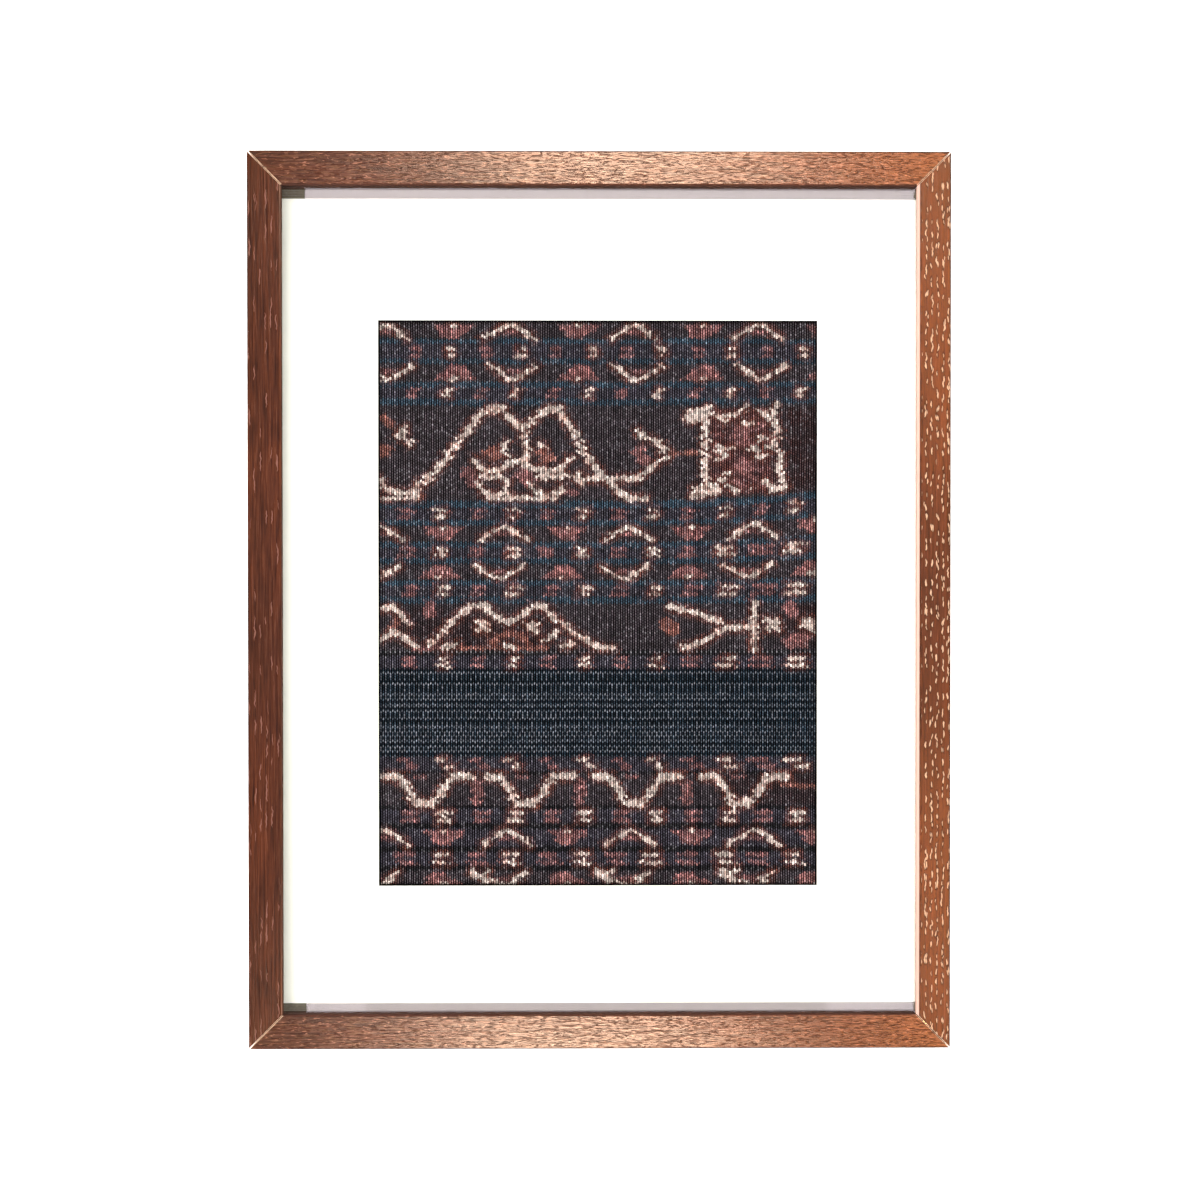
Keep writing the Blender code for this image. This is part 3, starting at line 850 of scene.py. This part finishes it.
def cloth_material():
    """Ribs of bulging floats. Pale floats are rougher and show two strokes each."""
    n = Nodes("ikat_weave")
    ribs, floats, _ = n.split(n.new("ShaderNodeUVMap", uv_map="weave").outputs[0])
    in_rib = n.math("FRACT", ribs)
    in_pair = n.math("FRACT", n.times(ribs, 0.5))

    # Floats lean one way on even ribs and the other way on odd ones
    turn = n.minus(n.steps(in_pair, 0.49, 0.51), 0.5)
    slant = n.times(n.times(n.minus(in_rib, 0.5), turn), SLANT)
    across = n.math("SINE", n.times(in_rib, math.pi))
    in_float = n.math("FRACT", n.plus(floats, slant))
    along = n.math("SINE", n.times(in_float, math.pi))

    dye = n.new("ShaderNodeVertexColor", layer_name="dye")
    green = n.channels(dye.outputs[0])[1]
    pale = n.times(n.minus(green, 0.05), 2.6, clamp=True)
    strokes = n.math("ABSOLUTE", n.math("SINE", n.times(in_float, math.tau)))
    plain = n.math("POWER", along, 0.28)
    stroked = n.minus(n.math("POWER", strokes, 0.5), plain)
    bulge = n.plus(plain, n.times(pale, stroked))
    steep = n.minus(1.5, n.times(pale, 1.05))
    bulge = n.times(bulge, n.math("POWER", across, steep))
    fibre = n.minus(n.noise(n.place(), scale=3000.0, detail=3.0, rough=0.7), 0.5)
    rough = n.plus(n.times(pale, 1.1), 0.6)
    height = n.times(bulge, n.plus(n.times(fibre, rough), 1.0))

    # Painted shade darkens the hollows between floats, and the top of a float may carry a pale tip, a
    # painted highlight that in the indigo stretch also draws the pale dots
    shade = n.times(n.math("POWER", height, n.minus(3.1, n.times(pale, 1.4))), 1.32)
    lit = n.mix(1.0, dye.outputs[0], n.vector(shade, shade, shade), "MULTIPLY")
    tip = n.times(n.math("POWER", height, 3.0), dye.outputs[1], clamp=True)
    bright = n.mix(1.0, dye.outputs[0], (6.0, 6.0, 6.0, 1.0), "MULTIPLY")
    bright = n.mix(0.35, (*PALE_GLINT_AND_DOT, 1.0), bright)
    n.surface(n.mix(tip, lit, bright), 0.9, 0.0)
    n.bump(height, 0.00022, 0.8)
    return n.material


def lane_dashes(n, along, across, long, keep):
    """Short dashes in chains along the rail: the dashes, and a faint dark rim around each."""
    ragged = n.noise(n.vector(n.times(along, 700.0), n.times(across, 1500.0), 2.0), 1.0, 2.0)
    cell_at = n.vector(n.math("DIVIDE", along, long), n.math("DIVIDE", across, DASH_THIN), 0.0)
    cell_inputs = {"Vector": cell_at, "Scale": 1.0}
    cell = n.new("ShaderNodeTexVoronoi", cell_inputs, voronoi_dimensions="2D")
    middle = n.split(cell.outputs["Position"])
    chance = n.channels(cell.outputs["Color"])

    # A cell is drawn when its middle lies on a chain and its chance is good enough
    turns = n.math("DIVIDE", n.plus(n.times(middle[1], DASH_THIN), DASH_START), DASH_LANE)
    lane = n.math("SINE", n.times(turns, math.tau))
    drawn = n.steps(chance[1], n.minus(1.0, keep), n.minus(1.02, keep))
    here = n.times(n.steps(lane, 0.30, 0.34), drawn)

    size = n.plus(n.times(chance[0], 0.20), 0.14)
    distance = n.plus(cell.outputs["Distance"], n.times(n.minus(ragged, 0.5), 0.35))
    core = n.times(n.steps(distance, n.plus(size, 0.12), size), here)
    rim = n.times(n.steps(distance, n.plus(size, 0.32), n.plus(size, 0.1)), here)
    return core, n.minus(rim, core, clamp=True)


def end_rail_grain(n, base, stretched, ridge):
    """Broken cracks along contour lines: the new base colour, the pale parts and the cracks."""
    hills = stretched(85.0, 720.0, 5.0, 2.0, 0.5, 0.15)
    contours = n.math("FRACT", n.times(hills, CONTOURS))
    off_contour = n.math("ABSOLUTE", n.minus(contours, 0.5))
    broken = n.steps(stretched(260.0, 700.0, 8.0, 2.0), 0.39, 0.47)
    crack = n.times(n.steps(off_contour, 0.18, 0.06), broken)
    fleck = n.steps(stretched(300.0, 800.0, 14.0, 1.0), 0.52, 0.58)
    fleck = n.times(n.steps(off_contour, 0.36, 0.43), fleck)
    pale = n.steps(ridge, 0.52, 0.66)
    base = n.tint(n.times(pale, 0.3), base, "foil_ridge")
    base = n.tint(n.times(fleck, 0.7), base, "foil_fleck")
    return base, pale, crack


def side_rail_grain(n, base, stretched, along, across, x, inset, drop):
    """Chains of pale dashes: the new base colour, the dashes and their dark rims.

    The left rail has fewer, longer and browner dashes, over its whole face. On the right rail they end
    before the inner edge, and their paler tone is partly a painted highlight. On the outer sides they are
    faint.
    """
    left = n.steps(x, 0.01, -0.01)
    drift = n.noise(n.vector(n.times(along, 45.0), 0.0, 5.0), 1.0, 1.0)
    wriggle = stretched(330.0, 260.0, 13.0, 1.0)
    swayed = n.plus(across, n.times(drift, 0.0014))
    swayed = n.plus(swayed, n.times(wriggle, 0.0016))
    long = n.plus(n.times(left, 0.0060), 0.0040)
    keep = n.minus(0.98, n.times(left, 0.62))
    pale, rim = lane_dashes(n, along, swayed, long, keep)
    last = n.plus(n.times(left, 0.0040), 0.0122)
    pale = n.times(pale, n.steps(inset, n.plus(last, 0.0003), last))
    on_face = n.plus(n.times(n.steps(drop, 0.0018, 0.0006), 0.75), 0.25)
    pale = n.times(pale, on_face)
    # Paler dashes on the right rail: their own tone with a painted highlight
    tone = n.mix(left, (*TONES["dash_right_highlight"], 1.0), (*TONES["dash_left"], 1.0))
    base = n.mix(n.times(pale, 0.85), base, tone)
    return base, pale, n.times(rim, 0.45)


def rail_material(name, runs_along_x):
    """Embossed oak-like foil: cracked ridges on the end rails, loose pale dashes on the side rails."""
    n = Nodes(name)
    low, high = corners("rail_top")
    half_width, half_height = corners("rail_right")[1][0], high[1]
    coords = n.place()
    x, y, z = n.split(coords)
    to_side = n.minus(half_width, n.math("ABSOLUTE", x))
    to_end = n.minus(half_height, n.math("ABSOLUTE", y))
    along, inset, side = (x, to_end, y) if runs_along_x else (y, to_side, x)

    # Distance across the foil, which folds down over the outer side. Each rail has its own stretch of it
    drop = n.minus(high[2], z)
    across = n.plus(n.minus(inset, drop), n.times(n.math("SIGN", side), 0.3))

    def stretched(per_metre_along, per_metre_across, layer, detail, rough=0.55, distortion=0.0):
        at = n.vector(n.times(along, per_metre_along), n.times(across, per_metre_across), layer)
        return n.noise(at, 1.0, detail, rough, distortion)

    # Grain
    slow = stretched(12.0, 90.0, 3.0, 3.0)
    streaks = stretched(45.0, 1100.0, 7.0, 5.0, 0.65, 0.3)
    fine = stretched(400.0, 3200.0, 11.0, 2.0)
    ridge = stretched(110.0, 900.0, 4.0, 2.0, 0.5, 0.15)
    base = n.ramp(streaks, 0.3, TONES["foil_dark"], 0.7, TONES["foil_light"])
    warmer = n.mix(1.0, base, (1.45, 1.35, 1.25, 1.0), "MULTIPLY")
    base = n.mix(n.steps(slow, 0.35, 0.7), base, warmer)
    if runs_along_x:
        base, pale, crack = end_rail_grain(n, base, stretched, ridge)
        grain, emboss, specular = 0.15, 0.00010, 0.2
    else:
        base, pale, crack = side_rail_grain(n, base, stretched, along, across, x, inset, drop)
        grain, emboss, specular = 0.5, 0.00024, 0.1
    pores = n.minus(fine, 0.35, clamp=True)
    base = n.tint(n.times(pores, grain), base, "foil_pore")

    # Cream line along each mitre
    mitre = n.math("ABSOLUTE", n.minus(to_side, to_end))
    worn = n.noise(coords, 700.0, 2.0)
    mitre_line = n.times(n.steps(mitre, 0.00052, 0.00040), n.steps(worn, 0.25, 0.45))
    base = n.tint(mitre_line, base, "mitre")
    n.surface(base, n.plus(n.times(streaks, 0.16), 0.18), specular)
    relief = n.plus(n.times(pale, 0.15), n.times(streaks, 0.4))
    relief = n.plus(relief, n.times(ridge, 0.2))
    n.bump(n.minus(relief, n.times(crack, 0.6)), emboss)

    # Matt cracks, and a matt band on the lip's inner wall in painted light: painted shade, dark on the
    # end rails and brown on the left one, and a pale painted highlight on the right one, where it starts
    # further out
    start = high[1] - low[1] - PAINTED_LIP_BAND
    if not runs_along_x:
        start = n.minus(start, n.times(n.steps(x, -0.01, 0.01), RIGHT_HIGHLIGHT_WIDER))
    edge = n.steps(inset, start, n.plus(start, 0.0002))
    wall = n.times(edge, n.steps(drop, 0.0040, 0.0030))
    lip_light_colour = (*TONES["wall_end_shade"], 1.0)
    if not runs_along_x:
        left_lip_shade, right_lip_highlight = (*TONES["wall_left_shade"], 1.0), (*TONES["wall_right_highlight"], 1.0)
        lip_light_colour = n.mix(n.steps(x, -0.01, 0.01), left_lip_shade, right_lip_highlight)
    matt_colour = n.mix(wall, (*TONES["foil_crack"], 1.0), lip_light_colour)
    matt_inputs = {"Base Color": matt_colour, "Roughness": 0.9, "Specular IOR Level": 0.0}
    matt = n.new("ShaderNodeBsdfPrincipled", matt_inputs)
    n.blend_in(n.math("MAXIMUM", wall, n.times(crack, 0.6)), matt)
    return n.material


def mat_material():
    """Warm white board with a fine paper tooth."""
    n = Nodes("white_board")
    coords = n.place()
    paper = n.noise(coords, 2600.0, 3.0)
    slow = n.noise(coords, 25.0, 2.0)
    base = n.ramp(slow, 0.3, (0.90, 0.90, 0.81), 0.7, (0.92, 0.92, 0.83))
    tooth = n.ramp(paper, 0.35, (0.6, 0.6, 0.58), 0.65, (1.0, 1.0, 1.0))
    n.surface(n.mix(0.08, base, tooth, "MULTIPLY"), 0.8, 0.0)
    n.bump(paper, 0.00006, 0.5)
    return n.material


def spacer_material():
    """Card laminated in layers that lie flat, so their edges show as fine lines. Its top is in shade."""
    n = Nodes("layered_card")
    coords = n.place()
    z = n.split(coords)[2]
    layers = n.math("SINE", n.times(z, math.tau / CARD_LAYER))
    fuzz = n.noise(coords, 900.0, 2.0)
    value = n.plus(n.times(layers, 0.18), n.times(fuzz, 0.9))
    base = n.ramp(value, 0.2, TONES["card_dark"], 0.8, TONES["card_light"])
    top = corners("spacer_top")[1][2]
    base = n.tint(n.steps(z, top - 0.0032, top - 0.0022), base, "card_shade")
    n.surface(base, 0.85, 0.0)
    n.bump(value, 0.0001, 0.4)
    return n.material


def backing_material():
    """Plain pressed fibreboard with fine fibres and specks."""
    n = Nodes("fibreboard")
    coords = n.place()
    fibres = n.noise(coords, 480.0, 6.0, 0.75, 1.6)
    clouds = n.noise(coords, 16.0, 2.0)
    base = n.ramp(fibres, 0.3, TONES["board_dark"], 0.7, TONES["board_light"])
    base = n.tint(n.times(clouds, 0.35), base, "board_cloud")
    specks = n.steps(n.noise(coords, 1500.0, 1.0), 0.70, 0.76)
    base = n.tint(n.times(specks, 0.6), base, "board_speck")
    n.surface(base, 0.75)
    n.bump(fibres, 0.00012, 0.5)
    return n.material


def glazing_material():
    """Clear glass that lets lamplight and bounced light straight through."""
    n = Nodes("clear_glass")
    n.surface((1.0, 1.0, 1.0, 1.0), 0.0)
    n.give(n.shader, {"IOR": 1.5, "Transmission Weight": 1.0})
    path = n.new("ShaderNodeLightPath")
    passing = n.math("MAXIMUM", path.outputs["Is Shadow Ray"], path.outputs["Is Diffuse Ray"])
    n.blend_in(passing, n.new("ShaderNodeBsdfTransparent", {0: (1.0, 1.0, 1.0, 1.0)}))
    return n.material


def dress(node, finish):
    """Gives a piece of the frame its material."""
    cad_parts[node].data.materials.clear()
    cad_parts[node].data.materials.append(finish)


def level_sheet(name, points, finish):
    """A flat sheet of four corners with one material."""
    mesh = bpy.data.meshes.new(name)
    mesh.from_pydata(points, [], [(0, 1, 2, 3)])
    mesh.materials.append(finish)
    return add_object(name, mesh)


def card(name, low, high, height, strength, colour):
    """A card that only mirrored rays see, so it adds a shine or a dark reflection and no light."""
    n = Nodes(name)
    n.give(n.shader, {"Base Color": (0, 0, 0, 1), "Specular IOR Level": 0.0})
    n.give(n.shader, {"Emission Color": (*colour, 1.0), "Emission Strength": strength})
    x0, y0 = low
    x1, y1 = high
    points = [(x0, y0, height), (x0, y1, height), (x1, y1, height), (x1, y0, height)]
    made = level_sheet(name, points, n.material)
    made.visible_camera = False
    made.visible_diffuse = False
    made.visible_shadow = False


def cards():
    """A dark ceiling, a pale one with a hole over the cloth, and strips that shine on the rails."""
    card("dark_ceiling", (-6, -6), (6, 6), DARK_HEIGHT, 0.0, (1.0, 1.0, 1.0))
    for name, low, high, strength, tone in CARDS:
        card(name, low, high, CARD_HEIGHT, strength, CARD_TONES[tone])


def area_light(name, size, location, target, power, colour):
    """A lamp that mirrored rays and rays through the glazing don't see."""
    lamp = bpy.data.lights.new(name, "AREA")
    lamp.shape = "RECTANGLE"
    lamp.size, lamp.size_y = size
    lamp.energy = power
    lamp.color = colour
    holder = add_object(name, lamp)
    holder.location = location
    direction = Vector(target) - Vector(location)
    holder.rotation_euler = direction.to_track_quat("-Z", "Y").to_euler()
    holder.visible_glossy = False
    holder.visible_transmission = False


def floor_and_light():
    """A bright floor, an even sky and three lamps."""
    n = Nodes("pale_floor")
    n.give(n.shader, {"Base Color": (0.93, 0.93, 0.93, 1.0), "Roughness": 0.9})
    n.give(n.shader, {"Emission Color": (1.0, 1.0, 1.0, 1.0), "Emission Strength": FLOOR_GLOW})
    half = FLOOR_HALF
    points = [(-half, -half, 0), (half, -half, 0), (half, half, 0), (-half, half, 0)]
    floor = level_sheet("floor", points, n.material)
    floor.location = (0, 0, FLOOR_HEIGHT)

    world = bpy.data.worlds.new("studio")
    bpy.context.scene.world = world
    world.use_nodes = True
    background = world.node_tree.nodes["Background"]
    background.inputs[0].default_value = (1.0, 1.0, 1.0, 1.0)
    background.inputs[1].default_value = SKY_STRENGTH
    for lamp in LAMPS:
        area_light(*lamp)
    bpy.context.scene.view_settings.view_transform = "Standard"


def camera():
    """Straight above, at reading distance, with the small lean and shift of the photo."""
    data = bpy.data.cameras.new("camera")
    data.lens = CAMERA_LENS
    data.sensor_width = CAMERA_SENSOR
    data.shift_x, data.shift_y = CAMERA_SHIFT
    data.clip_start = 0.01
    eye = add_object("camera", data)
    eye.location = CAMERA_PLACE
    eye.rotation_euler = CAMERA_LEAN
    bpy.context.scene.camera = eye


camera()
floor_and_light()
cards()

wood_x = rail_material("rail_foil_x", True)
wood_y = rail_material("rail_foil_y", False)
for side, finish in (("top", wood_x), ("bottom", wood_x), ("left", wood_y), ("right", wood_y)):
    dress("rail_" + side, finish)
card_finish = spacer_material()
for side in ("top", "bottom", "left", "right"):
    dress("spacer_" + side, card_finish)
dress("mat", mat_material())
dress("glazing", glazing_material())
dress("backing", backing_material())

cloth, cloth_width, cloth_height = build_cloth()
cloth.data.materials.append(cloth_material())
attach(cloth, "root")
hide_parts("textile")
